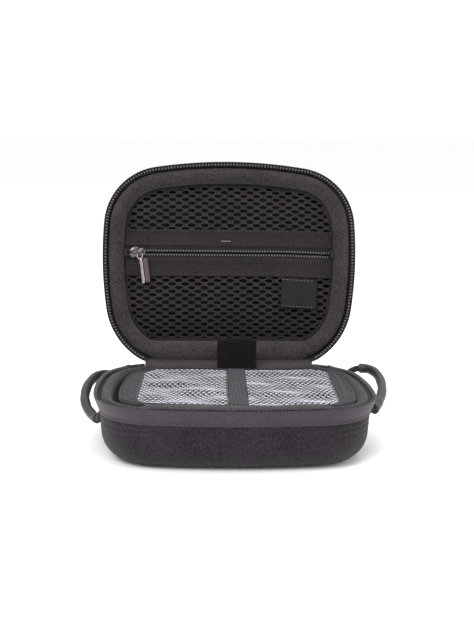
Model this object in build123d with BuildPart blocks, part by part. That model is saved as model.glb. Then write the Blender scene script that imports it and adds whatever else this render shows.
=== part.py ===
from build123d import *
import math
import os

os.makedirs("parts", exist_ok=True)

# A zipped hard case for cables, modelled open. Millimetres. +X right, +Y to the hinge at the rear,
# +Z up. The origin is the centre of the flat underside.

# ---- driving dimensions -------------------------------------------------------------------------
RIM_DEPTH = 128.0  # front to hinge line, over the zip tapes
PARTING = 36.5  # height of the plane where the two halves meet
LID_DEPTH = 28.0  # parting plane to the lid's top
OPEN_ANGLE = 96.8  # how far the lid stands open, in degrees

# Rim outline from the middle of the front, anticlockwise: (radius, turn in degrees) of tangent arcs
RIM_ARCS = ((304.0, 9.0), (38.5, 76.0), (244.0, 13.0), (45.0, 50.0))
REAR_CORNER = Vector(33.88, 23.38)  # centre of the rear corner arc
REAR_RADIUS = 45.0

# Depths run from the parting plane into either half
TAPE_EDGE = 0.6  # zip tape's free edge
SEAM = 9.0  # zip tape's sewn edge
TAPE_LEAN = 22.5  # slope of the zip tape, in degrees
TAPE = 0.8
COIL = 2.1  # height of the zip's coil
COIL_WIDE = 1.0
ZIP_END = 53.0  # half the length of hinge between the ends of the zip

WALL_INSET = 3.0  # outer face of the sides, inside the rim outline, carried up to the parting plane
DRAFT = 4.0  # slope of the sides, in degrees
CORNER = 16.0  # outer radius between sides and floor
COVER = 0.8
FOAM = 5.2
LINING = 0.7
GAP = 0.1  # between sewn or glued layers
WALL_TOP = 7.0
COLLAR_TOP = 1.9
COLLAR_INSET = 4.0
COLLAR_WIDE = {"base": 6.6, "lid": 7.4}
COLLAR_ROUND = 2.4

HINGE_LENGTH = 102.0
HINGE_FOLD = 0.3  # either side of the hinge line
HINGE_LEAF = 10.4

DIVIDER_INSET = 12.8
DIVIDER_SHIFT = 1.6
DIVIDER_TOP = 1.1
DIVIDER = 3.5
DIVIDER_BORDER = 8.0
DIVIDER_BAR = (-3.6, 8.0)  # the bar between its two windows
ELASTIC = (10.0, 95.0, 0.6)
ELASTIC_TURN = -1.8
TAB = (24.5, 2.4, 19.4)
TAB_X = 4.2

POCKET_DEPTH = 6.2
POCKET_INSET = 13.1
POCKET_ZIP = 70.0  # up the lid from the hinge line
POCKET_BANDS = {  # up the lid from the hinge line, and thickness
    "pocket_mesh_lower": (0.0, 55.2, 0.8),
    "pocket_facing_lower": (55.3, 66.2, 1.2),
    "pocket_zip_tape_lower": (66.3, 69.5, 0.8),
    "pocket_zip_tape_upper": (70.5, 74.5, 0.8),
    "pocket_facing_upper": (74.6, 84.8, 1.2),
    "pocket_mesh_upper": (84.9, 128.0, 0.8),
}
POCKET_SLIDER = (-59.2, 10.8, 7.8)  # middle, length, width
LABEL = (46.2, 44.3, 22.6, 19.4)
PULL_TURN = 10.0

SLIDER_TURN = 14.0  # length of a main slider round the corner arc, in degrees
SLIDER_END = 58.0  # its rear end round the corner arc, in degrees

HALF = RIM_DEPTH / 2
LEAN = math.radians(OPEN_ANGLE - 90)
LID_UP = Vector(0, math.sin(LEAN), math.cos(LEAN))
LID_IN = Vector(0, math.cos(LEAN), -math.sin(LEAN))

# Both halves are drawn alike: x across, y towards the hinge, z from the parting plane into the half
BASE = Plane(origin=(0, 0, PARTING), x_dir=(-1, 0, 0), z_dir=(0, 0, -1))
LID = Plane(origin=Vector(0, HALF, PARTING) + LID_UP * HALF, x_dir=(1, 0, 0), z_dir=LID_IN)
DEPTHS = {"base": PARTING, "lid": LID_DEPTH}


# ---- shapes -------------------------------------------------------------------------------------
def rim(inset=0.0):
    """The rim's outline moved inwards: bowed sides, wide corners and a straight hinge edge."""
    with BuildSketch() as outline:
        with BuildLine():
            run = JernArc((0, -HALF), (1, 0), *RIM_ARCS[0])
            for radius, turn in RIM_ARCS[1:]:
                run = JernArc(run @ 1, run % 1, radius, turn)
            turned = sum(turn for _, turn in RIM_ARCS)
            rise = 1 + math.cos(math.radians(turned))
            run = JernArc(run @ 1, run % 1, (HALF - (run @ 1).Y) / rise, 180 - turned)
            Line(run @ 1, (0, HALF))
            mirror(about=Plane.YZ)
        make_face()
        if inset:
            offset(amount=-inset)
    return outline.sketch


def ring(outer, inner):
    """The space between two insets of the rim."""
    with BuildSketch() as gap:
        add(rim(outer))
        add(rim(inner), mode=Mode.SUBTRACT)
    return gap.sketch


def run(plane, start, end, outline, slope=0.0):
    """An outline carried from one depth to another, with its sides sloping inwards."""
    with BuildPart() as block:
        with BuildSketch(plane.offset(start)):
            add(outline)
        extrude(amount=end - start, taper=slope)
    return block.part


def bowl(plane, start, floor, inset, corner):
    """A solid tray: drafted sides and a floor with a rounded edge."""
    outline = rim(inset + start * math.tan(math.radians(DRAFT)))
    with BuildPart() as tray:
        with BuildSketch(plane.offset(start)):
            add(outline)
        extrude(amount=floor - start, taper=DRAFT)
        fillet(tray.faces().sort_by(Axis(plane.origin, plane.z_dir))[-1].edges(), corner)
    return tray.part


def layer(plane, start, floor, inset, corner, thick):
    """One layer of a half: a tray less the smaller tray inside it."""
    outer = bowl(plane, start, floor, inset, corner)
    inner = bowl(plane, start - 1, floor - thick, inset + thick, corner - thick)
    with BuildPart() as skin:
        add(outer)
        add(inner, mode=Mode.SUBTRACT)
    return skin


def band(plane, inset, thick, start, end):
    """A strip standing round the rim at the zip tape's slope."""
    outer = run(plane, start, end, rim(inset), TAPE_LEAN)
    inner = run(plane, start, end, rim(inset + thick), TAPE_LEAN)
    with BuildPart() as strip:
        add(outer)
        add(inner, mode=Mode.SUBTRACT)
    return strip.part


def across(x0, x1, y0, y1):
    """A rectangle between two corners."""
    with BuildSketch() as area:
        with Locations(((x0 + x1) / 2, (y0 + y1) / 2)):
            Rectangle(x1 - x0, y1 - y0)
    return area.sketch


def save(piece, name):
    """Labels a finished piece and writes its file."""
    piece.part.label = name
    export_step(piece.part, f"parts/{name}.step")


def crown(frame, reach):
    """A slider's two lugs and pin: the pin on the frame's Z, the slider at -reach on its X."""
    with BuildPart() as lugs:
        for low in (1.4, -2.4):
            with BuildSketch(frame.offset(low)):
                Circle(1.5)
                with Locations((-reach / 2, 0)):
                    Rectangle(reach, 3.0)
            extrude(amount=1.0)
        with BuildSketch(frame.offset(-2.4)):
            Circle(0.6)
        extrude(amount=4.8)
    return lugs.part


def tongue(frame, length, wide, thick):
    """A pull: a barrel round the pin, a neck, and a slotted tongue along the frame's Y."""
    flat = Plane(
        origin=frame.origin - frame.x_dir * (thick / 2), x_dir=frame.y_dir, z_dir=frame.x_dir
    )
    with BuildPart() as pull:
        with BuildSketch(frame.offset(-1.15)):
            Circle(1.5)
            Circle(0.85, mode=Mode.SUBTRACT)
        extrude(amount=2.3)
        with BuildSketch(flat):
            with Locations((2.2, 0)):
                Rectangle(2.4, 2.3)
            with Locations(((length + 3.0) / 2, 0)):
                RectangleRounded(length - 3.0, wide, min(wide, length - 3.0) * 0.3)
                if length > 14:
                    RectangleRounded(length - 9.0, wide * 0.28, wide * 0.13, mode=Mode.SUBTRACT)
        extrude(amount=thick)
    return pull.part


# ---- the two halves: cover, foam shell, lining, padded collar, zip and hinge ---------------------
for half, plane in (("base", BASE), ("lid", LID)):
    floor = DEPTHS[half]
    step = COVER + GAP
    save(layer(plane, SEAM + GAP, floor, WALL_INSET, CORNER, COVER), f"{half}_cover")
    save(layer(plane, WALL_TOP, floor - step, WALL_INSET + step, CORNER - step, FOAM), f"{half}_shell")
    step += FOAM + GAP
    save(layer(plane, WALL_TOP, floor - step, WALL_INSET + step, CORNER - step, LINING), f"{half}_lining")

    padding = ring(COLLAR_INSET, COLLAR_INSET + COLLAR_WIDE[half])
    with BuildPart() as collar:
        with BuildSketch(plane.offset(COLLAR_TOP)):
            add(padding)
        extrude(amount=WALL_TOP - GAP - COLLAR_TOP)
        depth = Axis(plane.origin, plane.z_dir)
        fillet(collar.edges().group_by(depth)[0], COLLAR_ROUND)
    save(collar, f"{half}_collar")

    # The base's zip reaches the hinge; the lid's begins beyond the parked sliders.
    tape_band = band(plane, 0.0, TAPE / math.cos(math.radians(TAPE_LEAN)), TAPE_EDGE, SEAM)
    coil_band = band(plane, 1.0, COIL_WIDE, TAPE_EDGE, TAPE_EDGE + COIL)
    parked = math.radians(SLIDER_END - SLIDER_TURN - 1)
    lid_start = REAR_CORNER.Y + REAR_RADIUS * math.sin(parked)
    ends = {"base": (ZIP_END, 40.0), "lid": (100.0, lid_start)}[half]
    tape_gap = run(plane, -1, 20, across(-ends[0], ends[0], ends[1], 70))
    coil_gap = run(plane, -1, 20, across(-ends[0] - 3.8, ends[0] + 3.8, ends[1], 70))
    with BuildPart() as tape:
        add(tape_band)
        add(tape_gap, mode=Mode.SUBTRACT)
    save(tape, f"{half}_zip_tape")
    with BuildPart() as coil:
        add(coil_band)
        add(coil_gap, mode=Mode.SUBTRACT)
    save(coil, f"{half}_zip_coil")
    if half == "base":
        for side, x0 in (("left", ends[0] + 1.4), ("right", -ends[0] - 3.6)):
            keep = run(plane, -1, 20, across(x0, x0 + 2.2, ends[1], 70))
            with BuildPart() as stop:
                add(coil_band)
                add(keep, mode=Mode.INTERSECT)
            save(stop, f"zip_stop_{side}")

    # Hinge fabric: a leaf over the collar, folded at the hinge line and down the outside to the seam
    section = Plane(origin=plane.origin, x_dir=plane.y_dir, z_dir=plane.x_dir)
    with BuildPart() as strip:
        with BuildSketch(section):
            with BuildLine():
                Polyline(
                    (HALF - HINGE_LEAF, HINGE_FOLD),
                    (HALF - HINGE_FOLD, HINGE_FOLD),
                    (HALF - 3.45, SEAM),
                    (HALF - 4.25, SEAM),
                    (HALF - 1.5, HINGE_FOLD + TAPE),
                    (HALF - HINGE_LEAF, HINGE_FOLD + TAPE),
                    close=True,
                )
            make_face()
        extrude(amount=HINGE_LENGTH / 2, both=True)
    save(strip, f"hinge_strip_{half}")

# ---- the lid's zipped mesh pocket ----------------------------------------------------------------
edge = ring(POCKET_INSET - 1.5, POCKET_INSET - GAP)
with BuildPart() as binding:
    with BuildSketch(LID.offset(POCKET_DEPTH - 0.4)):
        add(edge)
    extrude(amount=1.6)
save(binding, "pocket_binding")

inside = rim(POCKET_INSET)
for name, (low, high, thick) in POCKET_BANDS.items():
    with BuildPart() as cloth:
        with BuildSketch(LID.offset(POCKET_DEPTH + 0.4 - thick / 2)):
            add(inside)
            with Locations((0, HALF - (low + high) / 2)):
                Rectangle(200, high - low, mode=Mode.INTERSECT)
        extrude(amount=thick)
    save(cloth, name)

for name, middle in (("pocket_zip_coil_upper", 71.35), ("pocket_zip_coil_lower", 68.65)):
    with BuildPart() as coil:
        with BuildSketch(LID.offset(POCKET_DEPTH + 0.9)):
            with Locations((0, HALF - middle)):
                Rectangle(134, 1.7)
        extrude(amount=1.0)
    save(coil, name)

for side, x in (("left", -66.4), ("right", 66.4)):
    with BuildPart() as stop:
        with BuildSketch(LID.offset(POCKET_DEPTH - 1.2)):
            with Locations((x, HALF - POCKET_ZIP)):
                Rectangle(1.6, 4.6)
        extrude(amount=1.1)
    save(stop, f"pocket_zip_stop_{side}")

slider_x, slider_long, slider_wide = POCKET_SLIDER
turn = math.radians(PULL_TURN)
pocket_pin = Plane(
    origin=LID.origin + LID.x_dir * slider_x + LID_UP * (POCKET_ZIP - HALF) + LID_IN * 2.6,
    x_dir=LID_IN * -1,
    z_dir=Vector(1, 0, 0) * math.cos(turn) + LID_UP * math.sin(turn),
)
pocket_crown = crown(pocket_pin, 2.2)
with BuildPart() as slider:
    for low, high, wide in ((4.6, 6.0, slider_wide), (6.0, 8.4, 0.5), (8.4, 9.4, 6.6)):
        with BuildSketch(LID.offset(low)):
            with Locations((slider_x, HALF - POCKET_ZIP)):
                Rectangle(slider_long, wide)
        extrude(amount=high - low)
    add(pocket_crown)
save(slider, "pocket_zip_slider")
pocket_pull = tongue(pocket_pin, 20.0, 7.3, 1.4)
with BuildPart() as pull:
    add(pocket_pull)
save(pull, "pocket_zip_pull")

with BuildPart() as label:
    with BuildSketch(LID.offset(POCKET_DEPTH - 0.7)):
        with Locations((LABEL[0], HALF - LABEL[1])):
            Rectangle(LABEL[2], LABEL[3], rotation=3)
    extrude(amount=0.6)
save(label, "woven_label")

# ---- the padded divider over the base ------------------------------------------------------------
top = PARTING - DIVIDER_TOP
panel = Pos(DIVIDER_SHIFT, 0) * rim(DIVIDER_INSET)
core = Pos(DIVIDER_SHIFT, 0) * rim(DIVIDER_INSET + 1.0)
opening = Pos(DIVIDER_SHIFT, 0) * rim(DIVIDER_INSET + DIVIDER_BORDER)
left_bar, right_bar = DIVIDER_BAR
windows = {
    "left": (opening & across(-90, left_bar, -60, 60), -1),
    "right": (opening & across(right_bar, 90, -60, 60), 1),
}

with BuildPart() as binding:
    with BuildSketch(Plane.XY.offset(top - DIVIDER)):
        add(panel)
        add(core, mode=Mode.SUBTRACT)
    extrude(amount=DIVIDER)
save(binding, "divider_binding")

core = Pos(DIVIDER_SHIFT, 0) * rim(DIVIDER_INSET + 1.0 + GAP)
for name, low, high in (
    ("divider_cover_bottom", top - DIVIDER, top - DIVIDER + 0.8),
    ("divider_board", top - DIVIDER + 0.9, top - 0.9),
    ("divider_cover_top", top - 0.8, top),
):
    with BuildPart() as sheet:
        with BuildSketch(Plane.XY.offset(low)):
            add(core)
            for window, _ in windows.values():
                add(window, mode=Mode.SUBTRACT)
        extrude(amount=high - low)
    save(sheet, name)

for side, (window, _) in windows.items():
    with BuildPart() as mesh:
        with BuildSketch(Plane.XY.offset(top - 1.6)):
            add(window)
            offset(amount=-GAP)
        extrude(amount=0.8)
    save(mesh, f"mesh_window_{side}")

with BuildPart() as elastic:
    with BuildSketch(Plane.XY.offset(top + GAP)):
        with Locations((sum(DIVIDER_BAR) / 2, -1.0)):
            Rectangle(ELASTIC[0], ELASTIC[1], rotation=ELASTIC_TURN)
    extrude(amount=ELASTIC[2])
save(elastic, "divider_elastic")

with BuildPart() as tab:
    with BuildSketch(Plane.XZ.offset(-(HALF - DIVIDER_INSET - 0.3))):
        with Locations((TAB_X, top + GAP + TAB[2] / 2)):
            RectangleRounded(TAB[0], TAB[2], 1.5)
    extrude(amount=TAB[1])
save(tab, "pull_tab")

collar_inside = COLLAR_INSET + COLLAR_WIDE["base"]
front = ring(collar_inside + GAP, collar_inside + GAP + 0.6) & across(-42, 42, -60, -40)
with BuildPart() as hinge_tape:
    with BuildSketch(Plane.XY.offset(29.9)):
        add(front)
    extrude(amount=4.2)
save(hinge_tape, "divider_hinge_tape")

with BuildPart() as ledge:
    with BuildSketch(Plane.XY.offset(top - DIVIDER - 5.2)):
        with Locations((0, 49.3)):
            Rectangle(84, 6.4)
    extrude(amount=5.1)
    fillet(ledge.edges().filter_by(Axis.Z), 1.5)
save(ledge, "divider_ledge")

# ---- main sliders and their pulls, parked at the ends of the zip ---------------------------------
park = math.radians(SLIDER_END - SLIDER_TURN / 2)
start = math.radians(SLIDER_END - SLIDER_TURN)
outward = Vector(math.cos(park), math.sin(park), 0)
centre = Vector(REAR_CORNER.X, REAR_CORNER.Y, PARTING)
pin = Plane(origin=centre + outward * (REAR_RADIUS + 3.9), x_dir=outward, z_dir=(0, 0, 1))
lugs = crown(pin, 2.6)
short_pull = tongue(pin, 11.0, 4.4, 1.2)
radial = Plane(
    origin=centre,
    x_dir=(math.cos(start), math.sin(start), 0),
    z_dir=(math.sin(start), -math.cos(start), 0),
)
for side in ("right", "left"):
    with BuildPart() as slider:
        with BuildSketch(radial):
            for inner, outer, tall in ((0.35, 1.95, 6.4), (-3.2, 0.6, 0.6), (-4.4, -2.8, 3.0)):
                with Locations((REAR_RADIUS + (inner + outer) / 2, 0)):
                    Rectangle(outer - inner, tall)
        revolve(axis=Axis(centre, (0, 0, 1)), revolution_arc=SLIDER_TURN)
        add(lugs)
        if side == "left":
            mirror(about=Plane.YZ, mode=Mode.REPLACE)
    save(slider, f"zip_slider_{side}")
    with BuildPart() as pull:
        add(short_pull)
        if side == "left":
            mirror(about=Plane.YZ, mode=Mode.REPLACE)
    save(pull, f"zip_pull_{side}")

# ---- side loops: a strap sewn into the seam at both ends, with a sleeve round its middle ---------
LOOPS = {
    "left": (
        (-72.8, 48.2, 30.4),
        (-78.0, 45.6, 32.4),
        (-82.8, 37.5, 32.8),
        (-86.4, 22.0, 31.2),
        (-87.2, 6.0, 27.4),
        (-84.9, -6.0, 23.8),
        (-81.0, -15.0, 21.6),
        (-78.2, -21.0, 21.4),
        (-77.2, -24.6, 23.0),
    ),
    "right": (
        (72.4, 49.4, 29.4),
        (75.8, 51.0, 33.2),
        (80.0, 51.2, 35.3),
        (84.8, 49.2, 36.0),
        (88.6, 44.6, 35.8),
        (91.0, 37.0, 34.6),
        (91.6, 27.0, 32.6),
        (90.2, 14.0, 30.4),
        (87.4, 2.0, 28.6),
        (84.2, -8.0, 27.3),
        (81.6, -15.0, 26.5),
        (79.8, -19.0, 26.3),
    ),
}
for side, points in LOOPS.items():
    with BuildLine() as path:
        Spline(*points)
    centreline = path.line.edges()[0]
    covered = centreline.trim(0.13, 0.88)
    with BuildPart() as strap:
        with BuildSketch(Plane(origin=centreline @ 0, z_dir=centreline % 0)):
            Circle(1.1)
        sweep(path=centreline)
    save(strap, f"loop_strap_{side}")
    with BuildPart() as sleeve:
        with BuildSketch(Plane(origin=covered @ 0, z_dir=covered % 0)):
            Circle(2.9)
            Circle(1.3, mode=Mode.SUBTRACT)
        sweep(path=covered)
    save(sleeve, f"loop_sleeve_{side}")
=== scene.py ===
import math

import bmesh
import bpy
import numpy as np
from mathutils import Matrix, Vector


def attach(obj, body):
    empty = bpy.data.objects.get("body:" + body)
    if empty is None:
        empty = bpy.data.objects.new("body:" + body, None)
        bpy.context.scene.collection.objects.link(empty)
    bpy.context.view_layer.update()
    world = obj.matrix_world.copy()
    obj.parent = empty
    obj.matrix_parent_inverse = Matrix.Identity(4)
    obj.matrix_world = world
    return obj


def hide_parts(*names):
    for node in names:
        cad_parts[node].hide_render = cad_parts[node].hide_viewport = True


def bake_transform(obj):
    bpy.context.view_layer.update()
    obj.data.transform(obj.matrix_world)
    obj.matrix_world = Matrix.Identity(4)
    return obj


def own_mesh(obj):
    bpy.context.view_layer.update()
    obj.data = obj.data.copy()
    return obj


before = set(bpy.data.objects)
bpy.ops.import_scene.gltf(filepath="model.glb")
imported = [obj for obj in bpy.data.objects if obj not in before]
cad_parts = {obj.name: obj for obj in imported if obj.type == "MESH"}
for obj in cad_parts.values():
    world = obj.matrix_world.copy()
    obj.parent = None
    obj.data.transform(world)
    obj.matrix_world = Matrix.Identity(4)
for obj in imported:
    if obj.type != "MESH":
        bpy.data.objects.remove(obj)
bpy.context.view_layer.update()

# ---- the CAD model's driving dimensions, in millimetres ----
HALF = 64.0  # from the pouch's middle to the hinge
PARTING = 36.5  # height of the plane the zip closes on
LID_DEPTH = 28.0
LEAN = math.radians(6.8)  # the open lid leans back
DRAFT_ANGLE = math.radians(4.0)  # both halves taper towards their floors
FLARE = math.tan(math.radians(22.5))  # the open zip tapes spread outwards
SEAM = 9.0  # depth of the seam between tape and cover
# Radius and turn of each arc from the middle of the front to the rear corner
ARCS = ((304.0, 9.0), (38.5, 76.0), (244.0, 13.0), (45.0, 50.0))
RING = 384  # points round the rim
LID_UP = np.array((0.0, math.sin(LEAN), math.cos(LEAN)))
LID_IN = np.array((0.0, math.cos(LEAN), -math.sin(LEAN)))  # from the opening to the lid's floor
LID_OUT = -LID_IN
HINGE = np.array((0.0, HALF, PARTING))
RIGHT, UP = np.array((1.0, 0, 0)), np.array((0, 0, 1.0))


# ---- the rim's outline ----
def right_half(step=0.1):
    """Points and outward directions from the middle of the front to the middle of the hinge."""
    points, heading = [np.array((0.0, -HALF))], 0.0
    turned = sum(turn for _, turn in ARCS)
    where = points[0]
    headings = [0.0]

    def arc(radius, turn):
        nonlocal where, heading
        count = max(4, int(radius * math.radians(turn) / step))
        start = heading
        centre = where + radius * np.array((-math.sin(start), math.cos(start)))
        for i in range(1, count + 1):
            heading = start + math.radians(turn) * i / count
            points.append(centre + radius * np.array((math.sin(heading), -math.cos(heading))))
            headings.append(heading)
        where = points[-1]

    for radius, turn in ARCS:
        arc(radius, turn)
    arc((HALF - where[1]) / (1 + math.cos(math.radians(turned))), 180 - turned)
    count = int(where[0] / step)
    edge = where[0]
    for i in range(1, count + 1):
        points.append(np.array((edge * (1 - i / count), HALF)))
        headings.append(math.pi)
    points, headings = np.array(points), np.array(headings)
    return points, np.stack((np.sin(headings), -np.cos(headings)), axis=1)


half_points, half_out = right_half()
flip = np.array((-1.0, 1.0))
# From the middle of the hinge round by the left side, the front and the right side
LOOP = np.concatenate((half_points[::-1][:-1] * flip, half_points[:-1]))
LOOP_OUT = np.concatenate((half_out[::-1][:-1] * flip, half_out[:-1]))
steps = np.linalg.norm(np.diff(np.vstack((LOOP, LOOP[:1])), axis=0), axis=1)
ALONG = np.concatenate(((0.0,), np.cumsum(steps)))
GIRTH = ALONG[-1]


def on_rim(s):
    """Position and outward direction at distances along the rim."""
    s = np.mod(np.asarray(s, float), GIRTH)
    wrap, out = np.vstack((LOOP, LOOP[:1])), np.vstack((LOOP_OUT, LOOP_OUT[:1]))
    p = np.stack([np.interp(s, ALONG, wrap[:, i]) for i in (0, 1)], axis=1)
    n = np.stack([np.interp(s, ALONG, out[:, i]) for i in (0, 1)], axis=1)
    return p, n / np.linalg.norm(n, axis=1)[:, None]


RIM_S = np.arange(RING) * GIRTH / RING
RIM_P = on_rim(RIM_S)[0]
RAYS = RIM_P / np.linalg.norm(RIM_P, axis=1)[:, None]
# Every fourth point of the outline: outward direction, and its tangent's distance from the middle
OUT_4 = LOOP_OUT[::4]
REACH_4 = np.sum(LOOP * LOOP_OUT, axis=1)[::4]
FACING = RAYS @ OUT_4.T


def on_rays(reach, facing):
    """Where the rays from the middle meet the nearest of an outline's tangents."""
    met = np.where(facing > 1e-3, reach / np.where(facing > 1e-3, facing, 1e9), 1e9)
    return RAYS * met.min(axis=1)[:, None]


def inset_ring(inset):
    """The rim's outline moved inwards, with RING points on fixed rays from the middle."""
    inset = np.broadcast_to(np.asarray(inset, float), (RING,))
    return on_rays(REACH_4[None, :] - inset[:, None], FACING)


def ring(inset, depth):
    """x, y and depth below the parting plane for one ring of points."""
    return np.column_stack((inset_ring(inset), np.broadcast_to(np.asarray(depth, float), (RING,))))


def in_base(p):
    """x, y and depth in the base, to the row frame."""
    p = np.asarray(p, float)
    return np.column_stack((p[:, 0], p[:, 1], PARTING - p[:, 2]))


def in_lid(p):
    """x, y (towards the hinge) and depth in the lid, to the row frame."""
    p = np.asarray(p, float)
    spot = HINGE + np.outer(HALF - p[:, 1], LID_UP) + np.outer(p[:, 2], LID_IN)
    spot[:, 0] += p[:, 0]
    return spot


def lid_uv(u, v, d):
    """u across the lid, v up from the hinge and depth d, to the row frame."""
    return in_lid(np.column_stack((u, HALF - np.asarray(v, float), d)))


def smooth(x):
    """An eased step from 0 to 1."""
    x = np.clip(x, 0.0, 1.0)
    return x * x * (3 - 2 * x)


def hump(x, at, wide):
    """A bell of height 1 at a place."""
    return np.exp(-((x - at) / wide) ** 2)


# ---- materials ----
def linear(tone):
    """A tone of 0 to 255 per channel as linear light."""
    return [(c / 255 / 12.92) if c <= 10 else ((c / 255 + 0.055) / 1.055) ** 2.4 for c in tone]


def material(name, tone, rough=0.8, grain=0.8, bump=0.3, vary=0.25, sheen=0.3, metal=0.0,
             ribs=None, rib_bump=0.0, coat=0.0, weave=True):
    """Cloth, plastic or metal: two tones in soft patches, a fine grain or weave, optional ribs."""
    mat = bpy.data.materials.new(name)
    mat.use_nodes = True
    nt = mat.node_tree
    link = nt.links.new
    shader = nt.nodes["Principled BSDF"]
    shader.inputs["Metallic"].default_value = metal
    shader.inputs["Sheen Weight"].default_value = sheen
    shader.inputs["Sheen Roughness"].default_value = 0.45
    shader.inputs["Coat Weight"].default_value = coat
    shader.inputs["Specular IOR Level"].default_value = 0.5 if metal or not weave else 0.12
    spot = nt.nodes.new("ShaderNodeTexCoord").outputs["Object"]

    def node(kind, **inputs):
        made = nt.nodes.new(kind)
        for key, value in inputs.items():
            made.inputs[key.replace("_", " ")].default_value = value
        return made

    patches = node("ShaderNodeTexNoise", Scale=55.0, Detail=4.0, Roughness=0.6)
    link(spot, patches.inputs["Vector"])
    fine = node("ShaderNodeTexVoronoi", Scale=1000.0 / grain)
    link(spot, fine.inputs["Vector"])
    fibre = node("ShaderNodeTexNoise", Scale=2600.0 / grain, Detail=2.0)
    link(spot, fibre.inputs["Vector"])

    def math_node(kind, a, b):
        made = nt.nodes.new("ShaderNodeMath")
        made.operation = kind
        for socket, value in zip(made.inputs, (a, b)):
            if isinstance(value, (int, float)):
                socket.default_value = value
            else:
                link(value, socket)
        return made.outputs[0]

    height = math_node("ADD", fine.outputs["Distance"], math_node("MULTIPLY", fibre.outputs["Fac"], 0.5))
    if weave:
        split = nt.nodes.new("ShaderNodeSeparateXYZ")
        link(spot, split.inputs[0])
        turn = 2 * math.pi * 1000.0 / (grain * 1.6)
        waves = [math_node("SINE", math_node("MULTIPLY", split.outputs[i], turn), 0.0) for i in range(3)]
        crossed = math_node("MULTIPLY", math_node("ADD", waves[0], waves[1]),
                            math_node("ADD", waves[2], 0.6))
        height = math_node("ADD", height, math_node("MULTIPLY", crossed, 0.22))
    ramp = nt.nodes.new("ShaderNodeValToRGB")
    swing = min(0.75, vary * 2.0) if weave else vary
    stops = (0.39, 0.59) if weave else (0.3, 0.68)
    for stop, at, share in zip(ramp.color_ramp.elements, stops, (1 - swing, 1 + swing)):
        stop.position = at
        stop.color = (*(c * share for c in linear(tone)), 1)
    speckle = node("ShaderNodeTexNoise", Scale=1050.0 / max(grain, 0.7), Detail=3.0, Roughness=0.75)
    streak = nt.nodes.new("ShaderNodeMapping")
    streak.inputs["Scale"].default_value = (1.0, 0.55, 0.55)
    link(spot, streak.inputs["Vector"])
    link(streak.outputs["Vector"], speckle.inputs["Vector"])
    mixed = math_node("ADD", math_node("MULTIPLY", patches.outputs["Fac"], 0.24),
                      math_node("MULTIPLY", fine.outputs["Distance"], 0.16))
    mixed = math_node("ADD", mixed, math_node("MULTIPLY", speckle.outputs["Fac"], 0.62))
    link(mixed, ramp.inputs["Fac"])
    link(ramp.outputs["Color"], shader.inputs["Base Color"])
    gloss = node("ShaderNodeMapRange")
    gloss.inputs["To Min"].default_value = max(0.05, rough - 0.1)
    gloss.inputs["To Max"].default_value = min(1.0, rough + 0.1)
    link(patches.outputs["Fac"], gloss.inputs["Value"])
    link(gloss.outputs["Result"], shader.inputs["Roughness"])
    lumps = node("ShaderNodeBump", Strength=bump, Distance=0.0004)
    link(height, lumps.inputs["Height"])
    last = lumps
    if ribs:
        bands = node("ShaderNodeTexWave", Scale=ribs[1], Distortion=0.3, Detail=1.0)
        bands.bands_direction = ribs[0]
        link(spot, bands.inputs["Vector"])
        rib = node("ShaderNodeBump", Strength=rib_bump, Distance=0.0005)
        link(bands.outputs["Fac"], rib.inputs["Height"])
        # Painted shade and light: the colour follows the ribs' bands, darker in the grooves and lighter on the
        # ridges of the rib bump.
        rib_shade_and_light = math_node("ADD", mixed, math_node("MULTIPLY", bands.outputs["Fac"], 0.16))
        link(math_node("SUBTRACT", rib_shade_and_light, 0.08), ramp.inputs["Fac"])
        link(lumps.outputs["Normal"], rib.inputs["Normal"])
        last = rib
    link(last.outputs["Normal"], shader.inputs["Normal"])
    return mat


OUTER = material("outer_polyester", (35, 31, 36), 0.85, 0.9, 0.7, 0.3, 0.12)
LINING = material("lining_knit", (47, 43, 46), 0.92, 0.8, 0.6, 0.3, 0.15)
BASE_LINING = material("base_lining_knit", (40, 37, 40), 0.92, 0.8, 0.6, 0.3, 0.15)
# A much darker copy of the lining for the base's well and the hidden ledge: painted shade for the dark gaps
# round the divider.
WELL_SHADE = material("lining_knit_painted_shade", (26, 24, 26), 0.92, 0.8, 0.5, 0.25, 0.1)
TAPE = material("zip_tape_twill", (56, 51, 57), 0.62, 0.5, 0.4, 0.15, 0.15)
# A darker copy of the zip tape. On the lid's main zip the darkness is painted shade, for the tape seen edge-on
# in shade; the pocket's tapes and the hinge's outer strip use the same dark tone.
DARK_TAPE_AND_SHADE = material("dark_tape_twill_and_painted_shade", (27, 25, 27), 0.7, 0.5, 0.4, 0.2, 0.1)
TEETH = material("zip_teeth_nylon", (104, 102, 102), 0.4, 0.6, 0.1, 0.2, 0.0, 0.2, weave=False)
BASE_TEETH = material("base_zip_teeth_nylon", (50, 48, 50), 0.45, 0.6, 0.1, 0.2, 0.0, weave=False)
DARK_TEETH = material("pocket_teeth_nylon", (92, 88, 92), 0.4, 0.5, 0.15, 0.2, 0.0, weave=False)
HINGE_CLOTH = material("hinge_grosgrain", (50, 46, 50), 0.85, 0.6, 0.5, 0.2, 0.12)
MESH_BLACK = material("pocket_mesh_yarn", (38, 34, 38), 0.75, 0.5, 0.6, 0.3, 0.12)
MESH_SILVER = material("silver_mesh_yarn", (92, 89, 96), 0.4, 0.5, 0.5, 0.36, 0.1, 0.2)
# Near-black colour for a sheet behind the pocket's net: painted shade inside the pocket.
POCKET_SHADE = material("pocket_painted_shade_sheet", (22, 20, 22), 0.9, 0.7, 0.3, 0.3, 0.1)
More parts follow.
